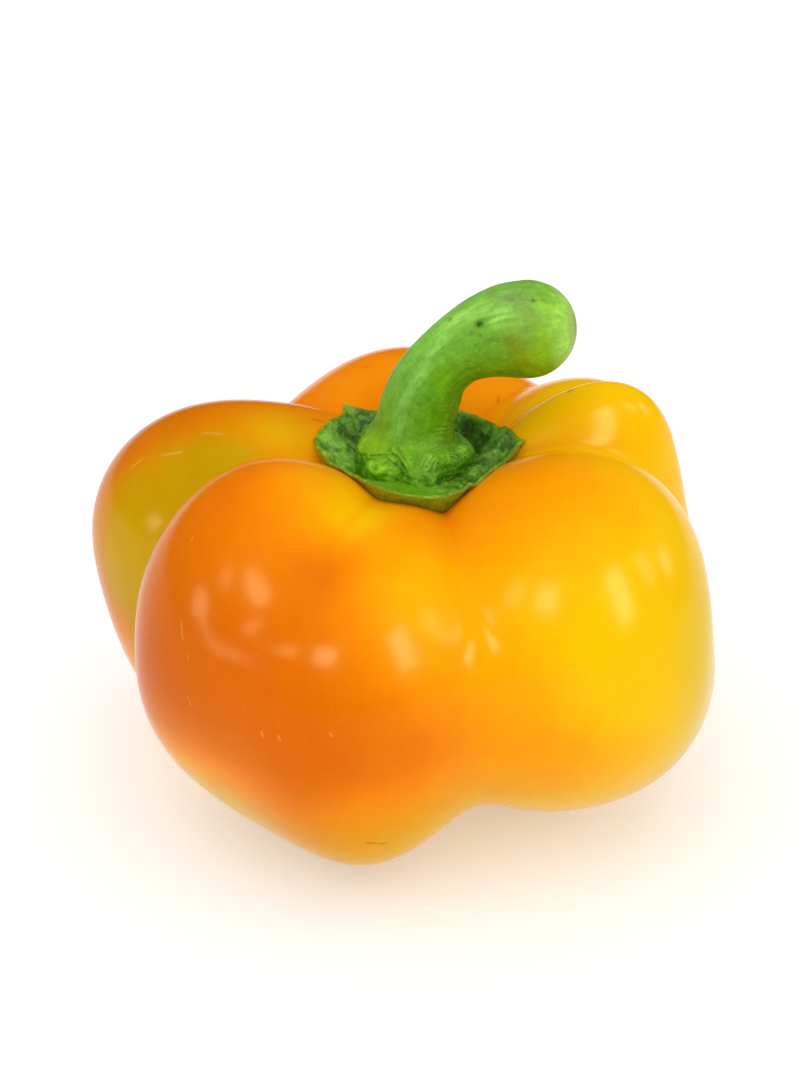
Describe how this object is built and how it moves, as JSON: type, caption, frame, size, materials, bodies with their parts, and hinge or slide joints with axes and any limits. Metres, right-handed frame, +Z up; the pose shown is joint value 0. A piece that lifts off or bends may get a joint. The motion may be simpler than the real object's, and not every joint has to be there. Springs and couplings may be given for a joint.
{
  "type": "bell pepper",
  "caption": "Whole squat bell pepper with deep lobes, a green toothed calyx cup and a thick crooked stem, resting upright on its bottom lobes.",
  "frame": {"origin": "middle of the underside of the whole object's bounding box, on the table plane", "axes": "+Z up along the stem axis, -Y towards the front centre lobe, +X towards the side that the stem's arm leans over"},
  "size_m": [0.0979, 0.094, 0.0843],
  "materials": {
    "fruit_skin": "glossy waxy skin, orange to golden yellow with an olive patch on the left back lobe",
    "calyx_green": "satin crinkled green with a bright thin lip",
    "stem_green": "satin green with fine lengthwise streaks and a paler cut end"
  },
  "bodies": {
    "root": {"fruit": "fruit_skin", "calyx": "calyx_green", "stem": "stem_green"}
  },
  "joints": []
}
